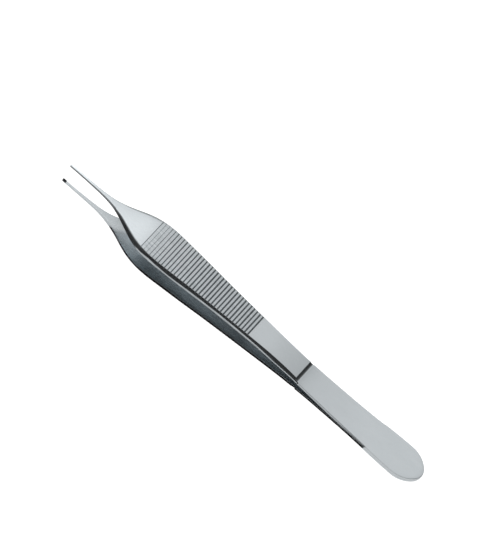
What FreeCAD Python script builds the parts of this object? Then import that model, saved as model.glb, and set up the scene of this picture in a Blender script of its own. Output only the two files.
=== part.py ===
import FreeCAD, Part
import math
import os
import Sketcher
from FreeCAD import Placement, Rotation, Vector

# Toothed thumb forceps, 120 mm long: two forged spring arms, welded face to
# face at the heel. Each arm is a thin leaf from the weld to a step, then a
# thicker thumb plate with cross grooves, which narrows over two shoulders
# into a slender nose. The upper nose ends in one tooth and the lower nose in
# two, with a notch between them that takes the upper one.
#
# Each arm is drawn in the instrument's own frame, as the upper one: X runs
# from the tips (0) to the heel, Y is across, and Z = 0 is the weld plane.
# The lower arm is the same forging turned over about X. Both are then tilted
# so that the flat stretch under the lower thumb plate lies level, because
# that is what the forceps rest on.

os.makedirs("parts", exist_ok=True)
doc = FreeCAD.newDocument("thumb_forceps")

# --------------------------------------------------------------------------
# Driving dimensions, millimetres
# --------------------------------------------------------------------------
sheet = doc.addObject("Spreadsheet::Sheet", "Dimensions")
VALUES = {}


def dim(alias, number, note=""):
    row = len(VALUES) + 1
    sheet.set("A%d" % row, alias)
    sheet.set("B%d" % row, repr(float(number)))
    sheet.setAlias("B%d" % row, alias)
    if note:
        sheet.set("C%d" % row, note)
    VALUES[alias] = float(number)


dim("overall_length", 120.0, "tips to heel")
dim("blank_length", 121.0, "length of the blank before the round heel is cut")
dim("blank_width", 13.0, "width of the blank before the outline is cut")
dim("weld_front", 104.0, "where the two leaves part, from the tips")
dim("leaf_thickness", 1.02, "leaf at the heel")
dim("step_cutter_radius", 1.1, "concave step behind the thumb plate")
dim("flank_draft", 0.27, "sideways run of the flanks for each mm of height")
dim("flank_height", 6.0, "height over which the flank cutter is drawn")
dim("groove_pitch", 1.008, "grip grooves, centre to centre")
dim("groove_depth", 0.28, "grip grooves")
dim("groove_half_width", 0.252, "grip grooves, at the face")
dim("groove_reach", 0.42, "height of the groove cutter above the face")
dim("groove_reach_half_width", 0.63, "half width of the cutter at that height")
dim("groove_first_x", 27.5, "first groove, nearest the tips")
dim("groove_first_z", 5.520, "outer face there")
dim("groove_front_count", 23, "grooves on the crowned stretch")
dim("groove_front_slope", 0.02405, "fall of the outer face along them")
dim("groove_back_x", 50.684, "first groove of the flat stretch")
dim("groove_back_z", 4.9354, "outer face there")
dim("groove_back_count", 13, "grooves on the flat stretch")
dim("flat_slope", 0.0505556, "fall of the flat stretch, for each mm of length")
dim("tooth_length", 1.05, "teeth, along X")
dim("tooth_height", 0.34, "teeth, above the inner face of the nose")
dim("tooth_root", 0.05, "how far the teeth are rooted in the nose")
dim("tooth_half_width", 0.13, "upper tooth, at its root")
dim("tip_half_width", 0.24, "nose at the tip")
dim("tip_inner_z", 4.35, "inner face at the tip")
dim("broken_edge", 0.2, "chamfer round the outer face of the leaf and heel")
dim("origin_x", 59.8137, "from the tips to the origin")
dim("origin_z", 7.4882, "from the weld plane at the tips to the origin")


def curve(name, points, note):
    """Control points of a curve, as cells NAME_a_NN and NAME_b_NN."""
    names = []
    for i, (a, b) in enumerate(points, 1):
        cell_a, cell_b = "%s_a_%02d" % (name, i), "%s_b_%02d" % (name, i)
        dim(cell_a, a, note if i == 1 else "")
        dim(cell_b, b)
        names.append((cell_a, cell_b))
    return names


INNER = curve("inner", [(0.0, 4.35), (5.7, 4.471), (17.54, 3.683), (34.34, 3.123), (52.63, 2.944),
                        (68.28, 1.975), (88.87, 0.49), (95.0, 0.0), (104.0, 0.0)],
              "inner face, from the tip to the weld: X and Z")
OUTER = curve("outer", [(0.0, 5.17), (3.63, 5.307), (9.52, 5.058), (20.55, 5.4), (29.15, 5.6),
                        (38.8, 5.33), (43.0, 5.32389), (48.5, 5.04583)],
              "outer face, from the tip to the flat stretch: X and Z")
BACK = curve("back", [(68.0, 4.06), (71.5, 3.883), (75.77, 3.434), (79.3, 3.0)],
             "outer face, from the flat stretch to the step: X and Z")
LEAF = curve("leaf", [(80.39, 2.06), (83.17, 1.719), (92.9, 1.23), (98.5, 1.02), (106.0, 1.02)],
             "outer face of the leaf: X and Z")
NOSE = curve("nose", [(-1.0, 0.24), (1.26, 0.25), (4.12, 0.265), (7.98, 0.33), (12.14, 0.43), (15.99, 0.99),
                      (19.93, 2.668), (23.3, 4.295), (27.3, 5.57), (29.4, 5.57), (31.4, 5.57)],
             "outline from ahead of the tip to the widest point: X and Y")
SIDE = curve("side", [(31.4, 5.57), (33.6, 5.57), (42.61, 4.991), (51.36, 4.268), (62.47, 3.777), (72.06, 3.395),
                      (83.05, 3.576), (92.21, 3.856), (103.4, 4.144), (108.0, 4.548), (113.4, 4.548)],
             "outline from the widest point to the heel: X and Y")
HEEL = curve("heel", [(113.4, 4.548), (117.0, 4.548), (120.0, 1.9), (120.0, 0.0)],
             "outline of the round heel: X and Y")
FLANK = curve("flank", [(-1.0, 1.706), (2.11, 1.691), (6.22, 1.746), (12.59, 1.775), (18.65, 3.03), (24.31, 5.87),
                        (30.61, 6.795), (36.83, 6.277), (43.1, 5.897), (49.32, 5.355), (55.58, 4.964), (61.82, 4.595),
                        (68.09, 4.216), (74.33, 3.893), (78.51, 3.81), (80.3, 3.86)],
              "line of the flanks, carried down to Z = 0: X and Y")
doc.recompute()


# --------------------------------------------------------------------------
# Sketches, with every point bound to the sheet
# --------------------------------------------------------------------------
def terms(formula):
    """A sum of products, as (sign, [factor, ...]) for each term."""
    out = []
    for term in formula.replace("-", "+-").split("+"):
        if term.strip():
            sign = -1.0 if term.strip().startswith("-") else 1.0
            out.append((sign, [factor.strip() for factor in term.strip().lstrip("-").split("*")]))
    return out


def number(formula):
    """Its value now."""
    return sum(sign * math.prod(VALUES[f] if f in VALUES else float(f) for f in factors)
               for sign, factors in terms(formula))


def expression(formula):
    """The same formula over the sheet's cells."""
    text = ""
    for sign, factors in terms(formula):
        text += " - " if sign < 0 else " + "
        text += " * ".join("Dimensions." + f if f in VALUES else f for f in factors)
    return text[3:] if text.startswith(" + ") else "0" + text


def origin_plane(body, role):
    return next(o for o in body.Origin.OriginFeatures if o.Role == role)


class Drawing:
    """A sketch on one of its body's origin planes."""

    def __init__(self, body, name, role, height=None):
        self.sketch = body.newObject("Sketcher::SketchObject", name)
        self.sketch.AttachmentSupport = [(origin_plane(body, role), "")]
        self.sketch.MapMode = "FlatFace"
        if height:
            self.sketch.setExpression("AttachmentOffset.Base.z", expression(height))
        self.bound = []

    def tie(self, constraint, formula):
        index = self.sketch.addConstraint(constraint)
        label = "size_%03d" % (len(self.bound) + 1)
        self.sketch.renameConstraint(index, label)
        self.bound.append((label, formula))

    def pin(self, geo, pos, point):
        """Holds a point at two signed distances from the origin."""
        for kind, axis, formula in (("DistanceX", -2, point[0]), ("DistanceY", -1, point[1])):
            if formula == "0":
                self.sketch.addConstraint(Sketcher.Constraint("PointOnObject", geo, pos, axis))
            else:
                self.tie(Sketcher.Constraint(kind, -1, 1, geo, pos, number(formula)), formula)

    def line(self, start, end, construction=False):
        a = Vector(number(start[0]), number(start[1]), 0)
        b = Vector(number(end[0]), number(end[1]), 0)
        return self.sketch.addGeometry(Part.LineSegment(a, b), construction)

    def spline(self, points):
        poles = [Vector(number(a), number(b), 0) for a, b in points]
        geo = self.sketch.addGeometry(Part.BSplineCurve(poles, None, None, False, 3, None, False), False)
        self.sketch.exposeInternalGeometry(geo)
        for i, point in enumerate(points):
            self.pin(geo + 1 + i, 3, point)
        return geo

    def join(self, geo_a, end_a, geo_b, end_b):
        self.sketch.addConstraint(Sketcher.Constraint("Coincident", geo_a, end_a, geo_b, end_b))

    def polygon(self, points):
        n = len(points)
        sides = [self.line(points[i], points[(i + 1) % n]) for i in range(n)]
        for i in range(n):
            self.join(sides[i], 2, sides[(i + 1) % n], 1)
            self.pin(sides[i], 1, points[i])
        return sides

    def done(self):
        for label, formula in self.bound:
            self.sketch.setExpression("Constraints." + label, expression(formula))
        doc.recompute()
        return self.sketch


def volume(feature):
    doc.recompute()
    if "Invalid" in feature.State or "Error" in feature.State or feature.Shape.isNull() or not feature.Shape.isValid():
        raise RuntimeError("%s failed: %s" % (feature.Name, feature.State))
    return feature.Shape.Volume


def expect(ok, what):
    if not ok:
        raise RuntimeError(what)


# --------------------------------------------------------------------------
# One arm, drawn as the upper one
# --------------------------------------------------------------------------
def side_profile(body, name):
    """Nose, thumb plate, step and leaf, seen from the side."""
    d = Drawing(body, name + "_side_profile", "XZ_Plane")
    outer = d.spline(OUTER)
    flat = d.line(OUTER[-1], BACK[0])
    back = d.spline(BACK)
    x1, z1 = number(BACK[-1][0]), number(BACK[-1][1])
    x2, z2 = number(LEAF[0][0]), number(LEAF[0][1])
    radius = VALUES["step_cutter_radius"]
    half = math.hypot(x2 - x1, z2 - z1) / 2
    rise = math.sqrt(radius ** 2 - half ** 2)
    cx = (x1 + x2) / 2 - (z2 - z1) / (2 * half) * rise
    cz = (z1 + z2) / 2 + (x2 - x1) / (2 * half) * rise
    start = math.atan2(z1 - cz, x1 - cx) % (2 * math.pi)
    end = math.atan2(z2 - cz, x2 - cx) % (2 * math.pi)
    circle = Part.Circle(Vector(cx, cz, 0), Vector(0, 0, 1), radius)
    step = d.sketch.addGeometry(Part.ArcOfCircle(circle, start, end), False)
    leaf = d.spline(LEAF)
    heel_corner = ("blank_length", "leaf_thickness")
    top = d.line(LEAF[-1], heel_corner)
    heel = d.line(heel_corner, ("blank_length", "0"))
    weld = d.line(("blank_length", "0"), ("weld_front", "0"))
    inner = d.spline(INNER)
    tip = d.line(INNER[0], OUTER[0])
    d.join(outer, 2, flat, 1)
    d.join(flat, 2, back, 1)
    d.join(back, 2, step, 1)
    d.join(step, 2, leaf, 1)
    d.tie(Sketcher.Constraint("Radius", step, radius), "step_cutter_radius")
    d.join(leaf, 2, top, 1)
    d.join(top, 2, heel, 1)
    d.pin(top, 2, heel_corner)
    d.join(heel, 2, weld, 1)
    d.pin(heel, 2, ("blank_length", "0"))
    d.join(weld, 2, inner, 2)
    d.join(tip, 1, inner, 1)
    d.join(tip, 2, outer, 1)
    return d.done()


def outline(body, name):
    """The arm's outline inside a frame: what lies between them is cut away.

    The curves meet end to end because their end points share cells."""
    d = Drawing(body, name + "_outline", "XY_Plane")
    d.polygon([("blank_length + 2", "blank_width"), ("-3", "blank_width"),
               ("-3", "-blank_width"), ("blank_length + 2", "-blank_width")])
    chain = []
    for points, ahead in ((NOSE, True), (SIDE, True), (HEEL, True), (HEEL, False), (SIDE, False), (NOSE, False)):
        if not ahead:
            points = [(a, "0" if b == HEEL[-1][1] else "-" + b) for a, b in reversed(points)]
        elif points is HEEL:
            points = points[:-1] + [(points[-1][0], "0")]
        chain.append(d.spline(points))
    front = d.line((NOSE[0][0], "-" + NOSE[0][1]), NOSE[0])
    d.join(chain[-1], 2, front, 1)
    d.join(front, 2, chain[0], 1)
    return d.done()


def flank_line(body, name, height, shift):
    """Section of the flank cutter at one height."""
    d = Drawing(body, name, "XY_Plane", height)
    points = [(a, b + shift) for a, b in FLANK]
    line = d.spline(points)
    corners = [(FLANK[-1][0], "blank_width"), (FLANK[0][0], "blank_width")]
    back = d.line(points[-1], corners[0])
    far = d.line(corners[0], corners[1])
    front = d.line(corners[1], points[0])
    d.join(line, 2, back, 1)
    d.join(back, 2, far, 1)
    d.pin(back, 2, corners[0])
    d.join(far, 2, front, 1)
    d.join(front, 2, line, 1)
    d.pin(far, 2, corners[1])
    return d.done()


def build_arm(name, teeth):
    body = doc.addObject("PartDesign::Body", name)
    body.Label = name

    blank = body.newObject("PartDesign::Pad", name + "_blank")
    blank.Profile = side_profile(body, name)
    blank.SideType = "Symmetric"
    blank.setExpression("Length", expression("blank_width"))
    v_blank = volume(blank)

    # Outline, then the sloped flanks, cut on one side and mirrored.
    cut = body.newObject("PartDesign::Pocket", name + "_outline_cut")
    cut.Profile = outline(body, name)
    cut.SideType = "Symmetric"
    cut.setExpression("Length", expression("4*flank_height"))
    v_cut = volume(cut)
    expect(v_cut < v_blank - 500, "the outline cut nothing")

    foot = flank_line(body, name + "_flank_foot", None, "")
    head = flank_line(body, name + "_flank_head", "flank_height", " - flank_draft*flank_height")
    flank = body.newObject("PartDesign::SubtractiveLoft", name + "_flank_cut")
    flank.Profile = foot
    flank.Sections = [head]
    flank.Ruled = True
    v_flank = volume(flank)
    expect(v_flank < v_cut - 5, "the flank cutter cut nothing")

    mirror = body.newObject("PartDesign::Mirrored", name + "_other_side")
    mirror.Originals = [flank]
    mirror.MirrorPlane = (origin_plane(body, "XZ_Plane"), [""])
    body.Tip = mirror
    v_mirror = volume(mirror)
    expect(abs((v_cut - v_mirror) - 2 * (v_cut - v_flank)) < 0.3, "the other flank differs")

    # Broken edge round the outer face of the leaf and heel, from the step.
    edges = []
    for i, edge in enumerate(mirror.Shape.Edges, 1):
        middle = edge.valueAt((edge.FirstParameter + edge.LastParameter) / 2)
        box = edge.BoundBox
        on_outer = box.ZMin > VALUES["leaf_thickness"] - 0.01
        beside = abs(middle.y) > 0.5 and abs(box.YMax - box.YMin) < 4.6
        if on_outer and beside and box.XMin > number(LEAF[0][0]) - 0.05:
            edges.append("Edge%d" % i)
    broken = body.newObject("PartDesign::Chamfer", name + "_broken_edge")
    broken.Base = (mirror, edges)
    broken.setExpression("Size", expression("broken_edge"))
    body.Tip = broken
    expect(volume(broken) < v_mirror - 0.3, "the heel's edge isn't broken")

    # Cross grooves of the grip: one V cutter, repeated along the crowned
    # stretch and again along the flat one.
    last = broken
    for part, x, z, count, slope in (
            ("front", "groove_first_x", "groove_first_z", "groove_front_count", "groove_front_slope"),
            ("back", "groove_back_x", "groove_back_z", "groove_back_count", "flat_slope")):
        d = Drawing(body, "%s_groove_%s" % (name, part), "XZ_Plane")
        apex = (x, z + " - groove_depth")
        d.polygon([apex, (x + " + groove_reach_half_width", z + " + groove_reach"),
                   (x + " - groove_reach_half_width", z + " + groove_reach")])
        ahead = (x + " + 10", z + " - groove_depth - 10*" + slope)
        path = d.line(apex, ahead, True)
        d.join(path, 1, 0, 1)
        d.pin(path, 2, ahead)
        groove = body.newObject("PartDesign::Pocket", "%s_groove_%s_cut" % (name, part))
        groove.Profile = d.done()
        groove.SideType = "Symmetric"
        groove.setExpression("Length", expression("blank_width"))
        before = last.Shape.Volume
        one = before - volume(groove)
        expect(one > 0.2, "a groove cut nothing")
        pattern = body.newObject("PartDesign::LinearPattern", "%s_grooves_%s" % (name, part))
        pattern.Originals = [groove]
        pattern.Direction = (d.sketch, ["Axis0"])
        pattern.setExpression("Length", "Dimensions.groove_pitch * (Dimensions.%s - 1)" % count)
        pattern.setExpression("Occurrences", "Dimensions.%s" % count)
        body.Tip = pattern
        expect(before - volume(pattern) > 0.7 * VALUES[count] * one, "grooves are missing")
        last = pattern

    # Teeth, drawn across the tip and run along the nose.
    d = Drawing(body, name + "_teeth_section", "YZ_Plane")
    if teeth == 1:
        d.polygon([("-tooth_half_width", "tip_inner_z + tooth_root"), ("tooth_half_width", "tip_inner_z + tooth_root"),
                   ("tooth_half_width", "tip_inner_z - 0.02"), ("0", "tip_inner_z - tooth_height"),
                   ("-tooth_half_width", "tip_inner_z - 0.02")])
    else:
        d.polygon([("-tip_half_width", "tip_inner_z + tooth_root"), ("tip_half_width", "tip_inner_z + tooth_root"),
                   ("tip_half_width", "tip_inner_z - 0.5*tooth_height"),
                   ("0.68*tip_half_width", "tip_inner_z - tooth_height"), ("0", "tip_inner_z + 0.01"),
                   ("-0.68*tip_half_width", "tip_inner_z - tooth_height"),
                   ("-tip_half_width", "tip_inner_z - 0.5*tooth_height")])
    crown = body.newObject("PartDesign::Pad", name + "_teeth")
    crown.Profile = d.done()
    crown.setExpression("Length", expression("tooth_length"))
    volume(crown)
    body.Tip = crown
    doc.recompute()
    return body


upper = build_arm("upper_arm", 1)
lower = build_arm("lower_arm", 2)

# --------------------------------------------------------------------------
# Rest pose: tilted until the flat stretch of the lower arm is level
# --------------------------------------------------------------------------
tilt = math.degrees(math.atan(VALUES["flat_slope"]))
level = Rotation(Vector(0, 1, 0), tilt)
turned_over = Rotation(Vector(1, 0, 0), 180)
for body, rotation in ((upper, level), (lower, level * turned_over)):
    body.Placement = Placement(Vector(0, 0, 0), rotation)
    body.setExpression("Placement.Base.x", "-Dimensions.origin_x")
    body.setExpression("Placement.Base.z", "Dimensions.origin_z")
doc.recompute()

# --------------------------------------------------------------------------
# Checks and files
# --------------------------------------------------------------------------
for obj in doc.Objects:
    if "Invalid" in obj.State or "Error" in obj.State:
        raise RuntimeError("%s: %s" % (obj.Label, obj.State))

box = None
for body in (upper, lower):
    shape = body.Shape
    if shape.isNull() or not shape.isValid() or len(shape.Solids) != 1:
        raise RuntimeError(body.Label + " isn't one valid solid")
    own = shape.optimalBoundingBox(False)
    if box is None:
        box = own
    else:
        box.add(own)
    print("%-10s volume %.2f mm3, centre (%.2f, %.2f, %.2f)" % ((body.Label, shape.Volume) + tuple(shape.CenterOfGravity)))
print("box x %.3f %.3f  y %.3f %.3f  z %.3f %.3f" % (box.XMin, box.XMax, box.YMin, box.YMax, box.ZMin, box.ZMax))
expect(abs(box.XMin + box.XMax) < 0.02 and abs(box.YMin + box.YMax) < 0.02 and abs(box.ZMin) < 0.01,
       "the origin isn't at the middle of the box's underside")
expect(upper.Shape.common(lower.Shape).Volume < 1e-3, "the arms overlap")

for body in (upper, lower):
    body.Shape.exportStep("parts/%s.step" % body.Label)
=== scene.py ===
import math

import bpy
import numpy as np
import bmesh
from mathutils import Matrix, Vector


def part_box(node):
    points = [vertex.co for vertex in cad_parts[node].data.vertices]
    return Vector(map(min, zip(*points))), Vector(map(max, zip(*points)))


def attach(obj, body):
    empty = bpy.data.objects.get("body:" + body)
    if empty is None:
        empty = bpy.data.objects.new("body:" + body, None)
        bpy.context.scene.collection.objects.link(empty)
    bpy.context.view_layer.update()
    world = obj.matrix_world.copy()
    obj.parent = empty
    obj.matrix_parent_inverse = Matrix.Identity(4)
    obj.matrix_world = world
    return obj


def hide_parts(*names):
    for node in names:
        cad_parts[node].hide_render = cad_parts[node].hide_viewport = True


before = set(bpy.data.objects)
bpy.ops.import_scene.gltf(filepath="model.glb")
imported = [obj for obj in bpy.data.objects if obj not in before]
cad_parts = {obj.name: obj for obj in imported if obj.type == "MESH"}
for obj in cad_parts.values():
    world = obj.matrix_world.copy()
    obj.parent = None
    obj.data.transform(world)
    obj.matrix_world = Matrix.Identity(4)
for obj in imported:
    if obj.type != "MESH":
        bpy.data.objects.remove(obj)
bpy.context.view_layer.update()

# ---------------------------------------------------------------------------
# The instrument's own frame, in millimetres: X from the tips to the heel,
# Y across, Z above the weld plane. One arm is made as the upper one. The lower
# arm is the same forging turned over about X, and both are tilted so that the
# flat stretch under the lower thumb plate lies on the floor.
# ---------------------------------------------------------------------------
FLAT_SLOPE = 0.0505556
TILT = math.atan(FLAT_SLOPE)
ORIGIN_X, ORIGIN_Z = 59.8137, 7.4882
LENGTH = 120.0
DRAFT = 0.12        # the forged sides lean in towards the outer face

INNER = [(0.0, 4.35), (5.7, 4.471), (17.54, 3.683), (34.34, 3.123), (52.63, 2.944),
         (68.28, 1.975), (88.87, 0.49), (95.0, 0.0), (104.0, 0.0)]
OUTER = [(0.0, 5.17), (3.63, 5.307), (9.52, 5.058), (20.55, 5.4), (29.15, 5.6),
         (38.8, 5.33), (43.0, 5.32389), (48.5, 5.04583)]
BACK = [(68.0, 4.06), (71.5, 3.883), (75.77, 3.434), (79.3, 3.0)]
LEAF = [(80.39, 2.06), (83.17, 1.719), (92.9, 1.23), (98.5, 1.02), (106.0, 1.02)]
NOSE = [(-1.0, 0.24), (1.26, 0.25), (4.12, 0.265), (7.98, 0.33), (12.14, 0.43), (15.99, 0.99),
        (19.93, 2.668), (23.3, 4.295), (27.3, 5.57), (29.4, 5.57), (31.4, 5.57)]
SIDE = [(31.4, 5.57), (33.6, 5.57), (42.61, 4.991), (51.36, 4.268), (62.47, 3.777), (72.06, 3.395),
        (83.05, 3.576), (92.21, 3.856), (103.4, 4.144), (108.0, 4.548), (113.4, 4.548)]
HEEL = [(113.4, 4.548), (117.0, 4.548), (120.0, 1.9), (120.0, 0.0)]
FLANK = [(-1.0, 1.706), (2.11, 1.691), (6.22, 1.746), (12.59, 1.775), (18.65, 3.03), (24.31, 5.87),
         (30.61, 6.795), (36.83, 6.277), (43.1, 5.897), (49.32, 5.355), (55.58, 4.964), (61.82, 4.595),
         (68.09, 4.216), (74.33, 3.893), (78.51, 3.81), (80.3, 3.86)]
FLANK_DRAFT = 0.27

STEP_X, STEP_Z, LEAF_X, LEAF_Z, STEP_R = 79.3, 3.0, 80.39, 2.06, 1.1
FLAT_Z0, FLAT_X0 = 4.97, 50.0

GROOVE_PITCH = 1.008
GROOVES = 36
GROOVE_X0 = 27.5

TOOTH_LENGTH, TOOTH_HEIGHT = 1.05, 0.34


def bspline(points, samples=1500):
    """A clamped uniform cubic B-spline, as the CAD model's curves are."""
    p = np.array(points, float)
    n, k = len(p), 3
    knots = np.array([0] * (k + 1) + list(range(1, n - k)) + [n - k] * (k + 1), float)
    t = np.linspace(0.0, n - k - 1e-9, samples)
    basis = [((knots[i] <= t) & (t < knots[i + 1])).astype(float) for i in range(len(knots) - 1)]
    for d in range(1, k + 1):
        level = []
        for i in range(len(knots) - d - 1):
            b = np.zeros_like(t)
            if knots[i + d] > knots[i]:
                b += (t - knots[i]) / (knots[i + d] - knots[i]) * basis[i]
            if knots[i + d + 1] > knots[i + 1]:
                b += (knots[i + d + 1] - t) / (knots[i + d + 1] - knots[i + 1]) * basis[i + 1]
            level.append(b)
        basis = level
    out = sum(np.outer(basis[i], p[i]) for i in range(n))
    out[-1] = p[-1]
    return out


inner_curve = bspline(INNER)
outer_curve = bspline(OUTER)
back_curve = bspline(BACK)
leaf_curve = bspline(LEAF)
flank_curve = bspline(FLANK, 3000)
nose_curve = bspline(NOSE)
side_curve = bspline(SIDE)
heel_curve = bspline(HEEL)


def inner_z(x):
    return np.interp(x, inner_curve[:, 0], inner_curve[:, 1]) if x < 104.0 else 0.0


STEP_HALF = math.hypot(LEAF_X - STEP_X, LEAF_Z - STEP_Z) / 2
STEP_RISE = math.sqrt(STEP_R ** 2 - STEP_HALF ** 2)
STEP_CX = (STEP_X + LEAF_X) / 2 - (LEAF_Z - STEP_Z) / (2 * STEP_HALF) * STEP_RISE
STEP_CZ = (STEP_Z + LEAF_Z) / 2 + (LEAF_X - STEP_X) / (2 * STEP_HALF) * STEP_RISE


def outer_z(x):
    """Outer face without its grooves."""
    if x <= outer_curve[-1, 0]:
        return float(np.interp(x, outer_curve[:, 0], outer_curve[:, 1]))
    if x <= 68.0:
        return FLAT_Z0 - FLAT_SLOPE * (x - FLAT_X0)
    if x <= STEP_X:
        return float(np.interp(x, back_curve[:, 0], back_curve[:, 1]))
    if x < LEAF_X:
        return STEP_CZ - math.sqrt(max(STEP_R ** 2 - (x - STEP_CX) ** 2, 0.0))
    if x <= 106.0:
        return float(np.interp(x, leaf_curve[:, 0], leaf_curve[:, 1]))
    return 1.02


def half_width(x):
    """Outline."""
    if x <= 31.4:
        return float(np.interp(x, nose_curve[:, 0], nose_curve[:, 1]))
    if x <= 113.4:
        return float(np.interp(x, side_curve[:, 0], side_curve[:, 1]))
    return float(np.interp(x, heel_curve[:, 0], heel_curve[:, 1]))


def flank_y(x):
    """The flanks' line, carried down to Z = 0."""
    if x >= 80.6:
        return 50.0
    return float(np.interp(x, flank_curve[:, 0], flank_curve[:, 1]))


def smooth(t):
    t = min(max(t, 0.0), 1.0)
    return t * t * (3 - 2 * t)


# ---------------------------------------------------------------------------
# Grip grooves: the same places as in the CAD model, with the rounded lands
# and bottoms that a milled and tumbled surface has
# ---------------------------------------------------------------------------
def groove_half(index):
    """Half width: just scratched at the crown's front, full from about the twentieth, never quite even."""
    if index == 0:
        return 0.10
    even = 0.055 + 0.105 * smooth((index - 0.5) / 7.0) + 0.05 * smooth((index - 8.0) / 12.0)
    return even * (1.0 + 0.07 * math.sin(2.4 * index + 0.7))


def groove_cut(x):
    """How far the outer face lies below the plain one."""
    i = round((x - GROOVE_X0) / GROOVE_PITCH)
    if not 0 <= i < GROOVES:
        return 0.0
    half = groove_half(i)
    depth = (half - 0.02) / 0.7
    d = abs(x - GROOVE_X0 - i * GROOVE_PITCH)
    soft = 0.03
    cut = depth * (1.0 - (math.sqrt(d * d + soft * soft) - soft) / (math.sqrt(half * half + soft * soft) - soft))
    return max(cut, 0.0)


# ---------------------------------------------------------------------------
# Section of the arm at a station: the right half as a polygon with rounded
# corners, then mirrored. Each half has the same number of points everywhere.
# ---------------------------------------------------------------------------
ARC = 5          # segments round each corner
INNER_F = [0.0, 0.14, 0.28, 0.41, 0.54, 0.68, 0.84]
TOP_F = [0.84, 0.68, 0.52, 0.36, 0.18, 0.0]


def round_corner(before, corner, after, radius):
    """Points of the arc that rounds a corner, from the side of before."""
    b, c, a = np.array(before), np.array(corner), np.array(after)
    u, v = b - c, a - c
    lu, lv = np.linalg.norm(u), np.linalg.norm(v)
    if lu < 1e-6 or lv < 1e-6:
        return [c.copy() for _ in range(ARC + 1)]
    u, v = u / lu, v / lv
    turn = math.acos(max(-1.0, min(1.0, float(-u @ v))))
    if turn < 1e-3:
        return [c.copy() for _ in range(ARC + 1)]
    reach = min(radius * math.tan(turn / 2), 0.45 * lu, 0.45 * lv)
    r = reach / math.tan(turn / 2)
    bis = (u + v) / np.linalg.norm(u + v)
    centre = c + bis * r / math.cos(turn / 2)
    p0, p1 = c + u * reach, c + v * reach
    a0, a1 = p0 - centre, p1 - centre
    out = []
    for i in range(ARC + 1):
        t = i / ARC
        w0, w1 = math.sin((1 - t) * turn) / math.sin(turn), math.sin(t * turn) / math.sin(turn)
        out.append(centre + a0 * w0 + a1 * w1)
    return out


def tooth_drop(kind, f):
    """Height of the teeth above the inner face of the nose, at a share of its half width."""
    if kind == 1:
        return TOOTH_HEIGHT * max(0.0, 1.0 - f / 0.54)
    if f <= 0.68:
        return TOOTH_HEIGHT * (f / 0.68)
    return TOOTH_HEIGHT * (1.0 - 0.5 * (f - 0.68) / 0.32)


def section(x, kind):
    """Half of the ring, from the inner face's middle to the outer face's middle."""
    zi = inner_z(x)
    zt = outer_z(x) - groove_cut(x)
    yo = half_width(x)
    # the flank's top edge is the CAD model's; it runs down flatter at the shoulders
    draft = FLANK_DRAFT + 0.12 * (1.0 - smooth((x - 27.0) / 7.0))
    plain = outer_z(x)
    yf = flank_y(x) - FLANK_DRAFT * plain + draft * plain
    # forged draft, ground square again where the two leaves are one
    lean = DRAFT * smooth((x - 13.0) / 8.0) * (1.0 - smooth((x - 103.6) / 1.2))
    if kind == 2:
        lean = 0.0
    z1 = min(max((yf - yo - lean * zi) / (draft - lean), zi), zt)
    if 16.0 < x < 80.35:
        tall = 0.5 + 0.4 * smooth((x - 19.0) / 4.0) * (1.0 - smooth((x - 26.0) / 3.0))
        least = min(zi + tall * smooth((x - 16.0) / 6.0), zt - 0.1)
        z1 = max(z1, least)
    y1 = min(yo - lean * (z1 - zi), yf - draft * z1)
    ya = min(yo, y1 + lean * (z1 - zi))
    yt = min(yo - lean * (zt - zi), yf - draft * zt)
    inner_corner, side_corner, top_corner = (ya, zi), (y1, z1), (yt, zt)
    r_in = 0.05 + 0.05 * smooth((x - 14.0) / 10.0) - 0.06 * smooth((x - 78.0) / 4.0)
    if kind == 2:
        r_in = 0.05 - 0.02 * smooth((x - 20.0) / 6.0)
    r_side = 0.05 + 0.25 * smooth((x - 18.0) / 8.0)
    r_top = 0.08 + 0.03 * smooth((x - 81.0) / 4.0) + 0.17 * smooth((x - 14.0) / 5.0) * (1.0 - smooth((x - 26.0) / 1.6))
    a = round_corner((0.0, zi), inner_corner, side_corner, r_in)
    flat_side = zt - z1 < 1e-4
    if flat_side:
        c = round_corner(inner_corner, top_corner, (0.0, zt), r_top)
        mid = [(a[-1] + (c[0] - a[-1]) * (0.15 + 0.7 * i / ARC)) for i in range(ARC + 1)]
    else:
        c = round_corner(side_corner, top_corner, (0.0, zt), r_top)
        mid = round_corner(inner_corner, side_corner, top_corner, r_side)
    half = [np.array((f * a[0][0], zi)) for f in INNER_F] + list(a) + list(mid) + list(c)
    half += [np.array((f * c[-1][0], c[-1][1])) for f in TOP_F]
    if kind and x <= TOOTH_LENGTH + 0.12:
        fade = 1.0 - smooth((x - TOOTH_LENGTH) / 0.12)
        for i, f in enumerate(INNER_F):
            half[i] = half[i] - np.array((0.0, fade * tooth_drop(kind, f)))
        n = len(INNER_F)
        for i in range(n, n + ARC + 1):
            share = (i - n) / ARC
            f = 1.0 - 0.14 * (1 - share)
            half[i] = half[i] - np.array((0.0, fade * tooth_drop(kind, f) * (1 - share)))
    return np.array(half)


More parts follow.
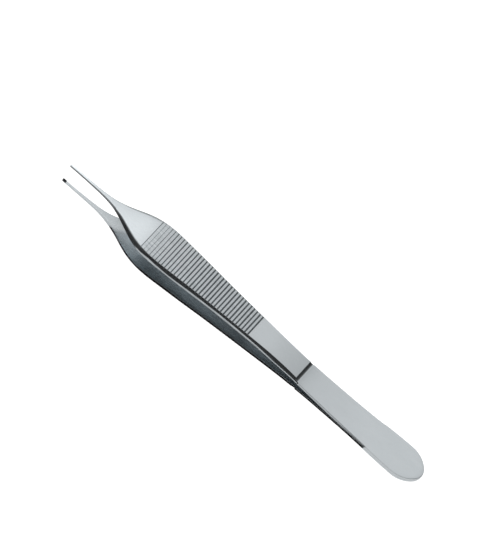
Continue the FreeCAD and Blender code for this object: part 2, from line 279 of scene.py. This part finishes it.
# ---------------------------------------------------------------------------
# Stations along the arm, and the heel's fan
# ---------------------------------------------------------------------------
def stations():
    xs = list(np.arange(0.12, 1.0, 0.12)) + [1.0, 1.05, 1.08, 1.11, 1.14, 1.17]
    xs += list(np.arange(1.4, 12.0, 0.35)) + list(np.arange(12.0, 27.0, 0.2))
    for i in range(GROOVES):
        c = GROOVE_X0 + i * GROOVE_PITCH
        h = groove_half(i)
        xs += [c + k * d for k in (-1, 1) for d in (0.012, 0.04, 0.4 * h, 0.75 * h, h - 0.006, h + 0.006, h + 0.04, 0.42)]
    last = GROOVE_X0 + (GROOVES - 1) * GROOVE_PITCH
    xs += list(np.arange(last + 0.6, 78.9, 0.35)) + [79.0, 79.1, 79.18, 79.24, 79.28, 79.3]
    for k in range(1, 14):
        a0 = math.atan2(STEP_Z - STEP_CZ, STEP_X - STEP_CX) % (2 * math.pi)
        a1 = math.atan2(LEAF_Z - STEP_CZ, LEAF_X - STEP_CX) % (2 * math.pi)
        a = a0 + (a1 - a0) * k / 14
        xs.append(STEP_CX + STEP_R * math.cos(a))
    xs += [80.39, 80.45, 80.52, 80.62, 80.8] + list(np.arange(81.1, 113.3, 0.4))
    xs = sorted(set(round(v, 5) for v in xs))
    out = [xs[0]]
    for v in xs[1:]:
        if v - out[-1] > 0.004:
            out.append(v)
    return out


def ring(half, x):
    """Closed ring in XYZ, from a half section."""
    right = [(x, p[0], p[1]) for p in half]
    left = [(x, -p[0], p[1]) for p in half[1:-1][::-1]]
    return right + left


def arm_mesh(name, kind):
    xs = stations()
    rings = []
    # square-cut tip with a small broken edge
    first = section(0.0, kind)
    mid_z = (inner_z(0.0) + outer_z(0.0)) / 2
    for x, inset in ((0.0, 0.035), (0.012, 0.014), (0.035, 0.0)):
        h = section(x, kind)
        c = np.array((0.0, mid_z))
        d = h - c
        lengths = np.maximum(np.linalg.norm(d, axis=1, keepdims=True), 1e-6)
        rings.append(ring(c + d * (1 - inset / lengths), x))
    for x in xs:
        rings.append(ring(section(x, kind), x))
    n = len(rings[0])
    verts = [v for r in rings for v in r]
    faces = []
    for i in range(len(rings) - 1):
        for j in range(n):
            k = (j + 1) % n
            faces.append((i * n + j, i * n + k, (i + 1) * n + k, (i + 1) * n + j))
    # tip cap
    tip = len(verts)
    verts.append((0.0, 0.0, mid_z))
    for j in range(n):
        faces.append((tip, (j + 1) % n, j))
    # heel: sections in upright planes that fan round a middle line
    half_n = len(first)
    base = (len(rings) - 1) * n
    x_last = xs[-1]
    outline = heel_curve[heel_curve[:, 0] >= x_last]
    if x_last < 113.4:
        lead = side_curve[(side_curve[:, 0] > x_last)]
        outline = np.vstack([lead, heel_curve[1:]])
    outline = np.vstack([[x_last, half_width(x_last)], outline])
    seg = np.linalg.norm(np.diff(outline, axis=0), axis=1)
    s = np.concatenate([[0.0], np.cumsum(seg)])
    fan = 34
    points = [(float(np.interp(s[-1] * t, s, outline[:, 0])), float(np.interp(s[-1] * t, s, outline[:, 1])))
              for t in np.linspace(0, 1, fan + 1)]
    profile = section(112.5, kind)
    w = float(np.max(profile[:, 0]))
    inset = w - profile[:, 0]          # distance in from the outline, for each point of the half ring
    prev = list(range(base, base + half_n))             # right half of the last ring
    left_last = [base] + [base + n - i for i in range(1, half_n - 1)] + [base + half_n - 1]
    right_cols = [prev]
    cx = x_last
    for t, (px, py) in zip(np.linspace(0, 1, fan + 1)[1:], points[1:]):
        dx, dy = px - cx, py
        reach = math.hypot(dx, dy)
        ux, uy = dx / reach, dy / reach
        col = []
        for i in range(half_n):
            if i == 0 or i == half_n - 1:
                col.append(prev[i])
                continue
            share = profile[i, 0] / w
            keep = reach * share if inset[i] > 0.5 else reach - inset[i]
            col.append(len(verts))
            verts.append((cx + ux * keep, uy * keep, profile[i, 1]))
        right_cols.append(col)
    # the left half mirrors the right one, and shares the last column
    left_cols = [left_last]
    for col in right_cols[1:-1]:
        mirrored = []
        for i, v in enumerate(col):
            if i == 0 or i == half_n - 1:
                mirrored.append(v)
                continue
            x, y, z = verts[v]
            mirrored.append(len(verts))
            verts.append((x, -y, z))
        left_cols.append(mirrored)
    left_cols.append(right_cols[-1])
    for cols, flip in ((right_cols, False), (left_cols, True)):
        for a, b in zip(cols, cols[1:]):
            for i in range(half_n - 1):
                quad = [a[i], a[i + 1], b[i + 1], b[i]]
                quad = [q for k, q in enumerate(quad) if q not in quad[:k]]
                if len(quad) < 3:
                    continue
                faces.append(tuple(quad if not flip else quad[::-1]))
    return verts, faces


def place(verts, lower):
    """From the instrument's frame, in mm, to the row frame, in metres."""
    v = np.array(verts, float)
    if lower:
        v[:, 1] *= -1
        v[:, 2] *= -1
    c, s = math.cos(TILT), math.sin(TILT)
    x = v[:, 0] * c + v[:, 2] * s - ORIGIN_X
    z = -v[:, 0] * s + v[:, 2] * c + ORIGIN_Z
    return np.stack([x, v[:, 1], z], axis=1) * 0.001


def tooth_shade_and_groove_dark(v, kind):
    """Painted shade on the teeth, and a darker share deeper in the grooves: 0 on the open faces, more in the grooves, 1
    on the teeth.
    """
    x, y, z = v
    if x < 1.16:
        reach = inner_z(x) + (0.62 if kind == 2 else 0.06)
        share = smooth((1.16 - x) / 0.06) if kind == 2 else smooth((0.85 - x) / 0.3)
        return share if z < reach else 0.0
    cut = groove_cut(x)
    if cut < 0.01 or abs(y) > flank_y(x) - FLANK_DRAFT * z + 0.05:
        return 0.0
    below = outer_z(x) - z
    return 0.38 * min(max(below / 0.06, 0.0), 1.0) if below < 0.4 else 0.0


def make_arm(name, node, kind, lower):
    verts, faces = arm_mesh(name, kind)
    placed = place(verts, lower)
    lo, hi = np.array(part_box(node)[0]), np.array(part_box(node)[1])
    placed = np.clip(placed, lo, hi)
    mesh = bpy.data.meshes.new(name)
    mesh.from_pydata([tuple(p) for p in placed], [], faces)
    mesh.validate()
    # the arm's own lengthwise coordinate and side, for the finish; then the share of painted shade on the teeth and of
    # darkening in the grooves
    along = mesh.attributes.new("along", "FLOAT_VECTOR", "POINT")
    flat = np.array(verts, np.float32)
    along.data.foreach_set("vector", (flat * 0.001).ravel())
    dark_share_attr = mesh.attributes.new("painted_tooth_shade_dark_grooves", "FLOAT", "POINT")
    dark_share_attr.data.foreach_set("value", [tooth_shade_and_groove_dark(v, kind) for v in verts])
    obj = bpy.data.objects.new(name, mesh)
    bpy.context.scene.collection.objects.link(obj)
    bm = bmesh.new()
    bm.from_mesh(mesh)
    bmesh.ops.recalc_face_normals(bm, faces=bm.faces)
    bm.to_mesh(mesh)
    bm.free()
    for p in mesh.polygons:
        p.use_smooth = True
    mesh.set_sharp_from_angle(angle=math.radians(24))
    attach(obj, "root")
    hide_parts(node)
    return obj


# ---------------------------------------------------------------------------
# Material
# ---------------------------------------------------------------------------
def steel(name):
    m = bpy.data.materials.new(name)
    m.use_nodes = True
    nt = m.node_tree
    nt.nodes.clear()
    out = nt.nodes.new("ShaderNodeOutputMaterial")
    bsdf = nt.nodes.new("ShaderNodeBsdfPrincipled")
    nt.links.new(bsdf.outputs[0], out.inputs[0])
    bsdf.inputs["Metallic"].default_value = 1.0
    attr = nt.nodes.new("ShaderNodeAttribute")
    attr.attribute_name = "along"

    # fine grain left by the belt, drawn out along the arm
    stretch = nt.nodes.new("ShaderNodeVectorMath")
    stretch.operation = "MULTIPLY"
    stretch.inputs[1].default_value = (900.0, 9000.0, 9000.0)
    nt.links.new(attr.outputs["Vector"], stretch.inputs[0])
    grain = nt.nodes.new("ShaderNodeTexNoise")
    grain.inputs["Scale"].default_value = 1.0
    grain.inputs["Detail"].default_value = 4.0
    grain.inputs["Roughness"].default_value = 0.6
    nt.links.new(stretch.outputs[0], grain.inputs["Vector"])

    # broad, faint clouding of the tumbled surface
    cloud_scale = nt.nodes.new("ShaderNodeVectorMath")
    cloud_scale.operation = "MULTIPLY"
    cloud_scale.inputs[1].default_value = (180.0, 420.0, 420.0)
    nt.links.new(attr.outputs["Vector"], cloud_scale.inputs[0])
    cloud = nt.nodes.new("ShaderNodeTexNoise")
    cloud.inputs["Scale"].default_value = 1.0
    cloud.inputs["Detail"].default_value = 3.0
    nt.links.new(cloud_scale.outputs[0], cloud.inputs["Vector"])

    # lengthwise tooling marks on the lands of the grip
    marks_scale = nt.nodes.new("ShaderNodeVectorMath")
    marks_scale.operation = "MULTIPLY"
    marks_scale.inputs[1].default_value = (260.0, 3600.0, 0.0)
    nt.links.new(attr.outputs["Vector"], marks_scale.inputs[0])
    marks = nt.nodes.new("ShaderNodeTexNoise")
    marks.inputs["Scale"].default_value = 1.0
    marks.inputs["Detail"].default_value = 2.0
    nt.links.new(marks_scale.outputs[0], marks.inputs["Vector"])
    split = nt.nodes.new("ShaderNodeSeparateXYZ")
    nt.links.new(attr.outputs["Vector"], split.inputs[0])

    def between(x0, x1):
        """1 along the arm from x0 to x1 (metres), with short soft ends."""
        a = nt.nodes.new("ShaderNodeMapRange")
        a.inputs["From Min"].default_value = x0 - 0.0001
        a.inputs["From Max"].default_value = x0 + 0.0001
        nt.links.new(split.outputs["X"], a.inputs["Value"])
        b = nt.nodes.new("ShaderNodeMapRange")
        b.inputs["From Min"].default_value = x1 + 0.0001
        b.inputs["From Max"].default_value = x1 - 0.0001
        nt.links.new(split.outputs["X"], b.inputs["Value"])
        both = nt.nodes.new("ShaderNodeMath")
        both.operation = "MULTIPLY"
        nt.links.new(a.outputs["Result"], both.inputs[0])
        nt.links.new(b.outputs["Result"], both.inputs[1])
        return both.outputs[0]

    grip = between(0.0275, 0.0630)
    dark_share = nt.nodes.new("ShaderNodeAttribute")
    dark_share.attribute_name = "painted_tooth_shade_dark_grooves"

    def mix(factor, a, b, kind="RGBA"):
        node = nt.nodes.new("ShaderNodeMix")
        node.data_type = kind
        sockets = [k for k in node.inputs if k.enabled]
        for socket, value in zip(sockets, (factor, a, b)):
            if isinstance(value, (float, tuple)):
                socket.default_value = value
            else:
                nt.links.new(value, socket)
        return [k for k in node.outputs if k.enabled][0]

    plain = mix(cloud.outputs["Fac"], (0.680, 0.727, 0.753, 1), (0.730, 0.775, 0.801, 1))
    mark_tone = nt.nodes.new("ShaderNodeMapRange")
    mark_tone.inputs["From Min"].default_value = 0.35
    mark_tone.inputs["From Max"].default_value = 0.65
    nt.links.new(marks.outputs["Fac"], mark_tone.inputs["Value"])
    lands = mix(mark_tone.outputs["Result"], (0.555, 0.595, 0.617, 1), (0.690, 0.735, 0.760, 1))
    surface = mix(grip, plain, lands)
    # painted shade on the teeth, and a darker colour deeper in the grooves, by the same share
    colour = mix(dark_share.outputs["Fac"], surface, (0.050, 0.054, 0.058, 1))
    nt.links.new(colour, bsdf.inputs["Base Color"])

    rough = nt.nodes.new("ShaderNodeMapRange")
    rough.inputs["From Min"].default_value = 0.3
    rough.inputs["From Max"].default_value = 0.7
    rough.inputs["To Min"].default_value = 0.19
    rough.inputs["To Max"].default_value = 0.24
    nt.links.new(grain.outputs["Fac"], rough.inputs["Value"])
    rougher = mix(dark_share.outputs["Fac"], rough.outputs["Result"], 0.42, "FLOAT")
    nt.links.new(rougher, bsdf.inputs["Roughness"])

    heights = mix(grip, grain.outputs["Fac"], marks.outputs["Fac"], "FLOAT")
    bump = nt.nodes.new("ShaderNodeBump")
    bump.inputs["Strength"].default_value = 0.05
    bump.inputs["Distance"].default_value = 0.00002
    nt.links.new(heights, bump.inputs["Height"])
    nt.links.new(bump.outputs["Normal"], bsdf.inputs["Normal"])
    return m


metal = steel("satin_steel")
upper = make_arm("upper_arm_finished", "upper_arm", 1, False)
lower = make_arm("lower_arm_finished", "lower_arm", 2, True)
for arm in (upper, lower):
    arm.data.materials.append(metal)

# ---------------------------------------------------------------------------
# Camera: the photograph's direction, nearly parallel projection. The image
# is 500 x 552; the pixels-per-millimetre and the place of the tips and heel
# in the frame set the distance and the aim.
# ---------------------------------------------------------------------------
IMG_W, IMG_H = 500.0, 552.0
SCALE = 3.9050                     # image pixels for one millimetre across the view
AZ, EL = 0.0708, math.radians(25.609)
to_camera = Vector((math.sin(AZ), -math.cos(AZ) * math.sin(EL), math.cos(AZ) * math.cos(EL)))
tilt_matrix = Matrix.Rotation(TILT, 3, "Y")
back = (tilt_matrix @ to_camera).normalized()

# direction of the instrument's X in the image: lower right
axis = (tilt_matrix @ Vector((1, 0, 0))).normalized()
flat_axis = (axis - back * axis.dot(back)).normalized()
angle = math.atan2(0.65089, 0.75918) + 0.0016           # below the horizontal
right = (flat_axis * math.cos(angle) + back.cross(flat_axis) * math.sin(angle)).normalized()
up = back.cross(right).normalized()

cam_data = bpy.data.cameras.new("camera")
cam_data.sensor_width = 36.0
cam_data.lens = 600.0
cam = bpy.data.objects.new("camera", cam_data)
bpy.context.scene.collection.objects.link(cam)
bpy.context.scene.camera = cam
# the long side of the image is its height, so the sensor's 36 mm span 552 px
mm_per_px = 36.0 / IMG_H
distance = cam_data.lens / (SCALE * mm_per_px) * 0.001          # metres


def row(x, y, z):
    p = tilt_matrix @ Vector((x, y, z))
    return Vector((p.x - ORIGIN_X, p.y, p.z + ORIGIN_Z)) * 0.001


# A point of the centre plane whose place in the photograph is known
known = row(60.0, 0.0, 0.0)
px, py = 243.61, 324.55          # from the frame's upper left corner
off_x = (px - IMG_W / 2) / (SCALE * 1000)
off_y = -(py - IMG_H / 2) / (SCALE * 1000)
aim = known - right * off_x - up * off_y
rotation = Matrix((right, up, back)).transposed()
cam.matrix_world = Matrix.Translation(aim + back * distance) @ rotation.to_4x4()
cam_data.clip_start, cam_data.clip_end = 0.01, 30.0

# ---------------------------------------------------------------------------
# Floor and light
# ---------------------------------------------------------------------------
floor_mesh = bpy.data.meshes.new("floor")
R = 1.6
floor_mesh.from_pydata([(-R, -R, 0), (R, -R, 0), (R, R, 0), (-R, R, 0)], [], [(0, 1, 2, 3)])
floor = bpy.data.objects.new("floor", floor_mesh)
bpy.context.scene.collection.objects.link(floor)
pale = bpy.data.materials.new("floor_white")
pale.use_nodes = True
pb = pale.node_tree.nodes["Principled BSDF"]
pb.inputs["Base Color"].default_value = (0.9, 0.9, 0.9, 1)
pb.inputs["Roughness"].default_value = 0.9
pb.inputs["Emission Color"].default_value = (1, 1, 1, 1)
pb.inputs["Emission Strength"].default_value = 1.0
floor_mesh.materials.append(pale)
floor.visible_glossy = False

world = bpy.data.worlds.new("world")
bpy.context.scene.world = world
world.use_nodes = True
wn = world.node_tree
wn.nodes.clear()
w_out = wn.nodes.new("ShaderNodeOutputWorld")
w_bg = wn.nodes.new("ShaderNodeBackground")
wn.links.new(w_bg.outputs[0], w_out.inputs[0])
coord = wn.nodes.new("ShaderNodeTexCoord")
sep = wn.nodes.new("ShaderNodeSeparateXYZ")
wn.links.new(coord.outputs["Generated"], sep.inputs[0])


def ramp(source, stops):
    """A smooth curve over one component of the direction, from -1 to 1."""
    to_unit = wn.nodes.new("ShaderNodeMapRange")
    to_unit.inputs["From Min"].default_value = -1.0
    to_unit.inputs["From Max"].default_value = 1.0
    wn.links.new(source, to_unit.inputs["Value"])
    r = wn.nodes.new("ShaderNodeValToRGB")
    wn.links.new(to_unit.outputs["Result"], r.inputs["Fac"])
    els = r.color_ramp.elements
    while len(els) > 1:
        els.remove(els[-1])
    for k, (at, g) in enumerate(stops):
        e = els[0] if k == 0 else els.new((at + 1) / 2)
        e.position = (at + 1) / 2
        e.color = (g, g, g, 1)
    return r.outputs["Color"]


def maths(kind, a, b):
    m = wn.nodes.new("ShaderNodeMath")
    m.operation = kind
    for k, value in enumerate((a, b)):
        if isinstance(value, float):
            m.inputs[k].default_value = value
        else:
            wn.links.new(value, m.inputs[k])
    return m.outputs[0]


# overhead softbox, with soft edges all round
overhead = maths("MULTIPLY",
                 ramp(sep.outputs["X"], [(-1, 0.12), (-0.27, 0.25), (-0.19, 0.55), (-0.15, 0.78), (-0.06, 0.80), (-0.01, 0.735), (0.05, 0.725),
                                         (0.145, 0.66), (0.19, 0.60), (0.22, 0.53), (0.27, 0.36), (0.35, 0.18), (0.5, 0.09), (1, 0.06)]),
                 ramp(sep.outputs["Z"], [(-1, 0), (0.15, 0), (0.28, 0.08), (0.45, 0.15), (0.65, 0.60), (0.80, 1), (1, 1)]))
# light thrown back from the table, in front and past the heel
front_or_heel = maths("MAXIMUM",
                      ramp(sep.outputs["Y"], [(-1, 1), (-0.30, 1), (-0.16, 0), (1, 0)]),
                      ramp(sep.outputs["X"], [(-1, 0), (0.02, 0), (0.2, 1), (0.48, 1), (0.62, 0.1), (1, 0)]))
bounce = maths("MULTIPLY",
               ramp(sep.outputs["Z"], [(-1, 0.5), (-0.97, 0.6), (-0.92, 0.74), (-0.80, 0.72), (-0.745, 0.55), (-0.64, 0), (1, 0)]),
               front_or_heel)
# the table behind, and weak fill from low down there
behind = maths("MULTIPLY",
               ramp(sep.outputs["Z"], [(-1, 0.25), (-0.9, 0.38), (-0.75, 0.38), (-0.6, 0.25), (-0.1, 0.22), (0.2, 0.16),
                                       (0.6, 0.18), (0.75, 0), (1, 0)]),
               ramp(sep.outputs["Y"], [(-1, 0), (0.15, 0), (0.38, 1), (1, 1)]))
behind = maths("MULTIPLY", behind, ramp(sep.outputs["X"], [(-1, 1), (0.12, 1), (0.4, 0.15), (1, 0.05)]))
# pale walls at the height of the table, but for a dark corner past the heel
walls = maths("MULTIPLY",
              ramp(sep.outputs["Z"], [(-1, 0), (-0.28, 0), (-0.10, 0.32), (0.30, 0.42), (0.52, 0.30), (0.66, 0), (1, 0)]),
              maths("MAXIMUM", ramp(sep.outputs["X"], [(-1, 1), (0.15, 1), (0.38, 0), (1, 0)]),
                    ramp(sep.outputs["Y"], [(-1, 1), (-0.65, 1), (-0.5, 0), (0.55, 0), (0.70, 1), (1, 1)])))
total = maths("ADD", maths("ADD", overhead, bounce), maths("ADD", maths("MAXIMUM", behind, walls), 0.02))
wn.links.new(total, w_bg.inputs["Strength"])
w_bg.inputs["Color"].default_value = (1, 1, 1, 1)


def card(name, corners, strength):
    """A flat studio card or lamp, in metres: seen in reflections only."""
    mesh = bpy.data.meshes.new(name)
    mesh.from_pydata(corners, [], [tuple(range(len(corners)))])
    obj = bpy.data.objects.new(name, mesh)
    bpy.context.scene.collection.objects.link(obj)
    glow = bpy.data.materials.new(name)
    glow.use_nodes = True
    tree = glow.node_tree
    tree.nodes.clear()
    out = tree.nodes.new("ShaderNodeOutputMaterial")
    emission = tree.nodes.new("ShaderNodeEmission")
    emission.inputs["Strength"].default_value = strength
    tree.links.new(emission.outputs[0], out.inputs[0])
    mesh.materials.append(glow)
    obj.visible_camera = False
    obj.visible_diffuse = False
    obj.visible_shadow = False
    return obj


# a strip light over the tips, a softer panel over the shoulders, and a grey card behind them
card("strip_light", [(-0.080, 0.0098, 0.040), (-0.053, 0.0098, 0.040), (-0.053, 0.0145, 0.040), (-0.080, 0.0145, 0.040)], 1.7)
card("tip_panel", [(-0.090, 0.0120, 0.060), (-0.0352, 0.0120, 0.060), (-0.0352, 0.0285, 0.060), (-0.0410, 0.0285, 0.060),
                   (-0.0475, 0.0244, 0.060), (-0.090, 0.0244, 0.060)], 1.16)
card("grey_card", [(-0.090, 0.0246, 0.0601), (-0.0476, 0.0246, 0.0601), (-0.0412, 0.0287, 0.0601), (-0.0412, 0.0330, 0.0601),
                   (-0.090, 0.0330, 0.0601)], 0.50)
# a narrow black flag beside the softbox, and a near-black card under the arms that is a painted contact shadow, seen in
# reflections only
card("black_flag", [(-0.047, 0.0194, 0.040), (-0.033, 0.0225, 0.040), (-0.033, 0.0450, 0.040), (-0.047, 0.0450, 0.040)], 0.004)
dark = [(x, -(half_width(x) + 2.2 + 1.8 * smooth((78.0 - x) / 12.0) * smooth((x - 20.0) / 8.0)))
        for x in (16, 20, 23, 26, 30, 36, 45, 55, 65, 75, 85, 95, 103.4)]
dark += [(x, half_width(x) + 4.5 + 3.0 * smooth((x - 48.0) / 15.0)) for x in (103.4, 95, 85, 75, 65, 55, 45, 36, 30, 26)]
dark += [(24.0, 7.6), (21.5, 6.0), (18.0, 5.6), (12.0, 5.2), (12.0, -1.0), (16.0, -1.5)]
card("painted_contact_shadow", [((x - ORIGIN_X) * 0.001, y * 0.001, 0.0001) for x, y in dark], 0.004)
# white paper beyond it, behind the shoulders
light = [(12.0, 5.4), (18.0, 5.8), (21.5, 6.2), (24.0, 7.8), (25.5, 9.4), (24.0, 14.0), (12.0, 14.0)]
card("white_paper", [((x - ORIGIN_X) * 0.001, y * 0.001, 0.0001) for x, y in light], 0.85)
# grey paper in front of the tips
card("grey_paper_tips", [(-0.064, -0.0110, 0.0001), (-0.048, -0.0110, 0.0001), (-0.048, -0.0040, 0.0001), (-0.064, -0.0040, 0.0001)], 0.22)
card("grey_paper_shoulders", [(-0.048, -0.0120, 0.0001), (-0.037, -0.0140, 0.0001), (-0.037, -0.0065, 0.0001), (-0.048, -0.0040, 0.0001)], 0.03)

view = bpy.context.scene.view_settings
view.view_transform = "Standard"
view.look = "None"
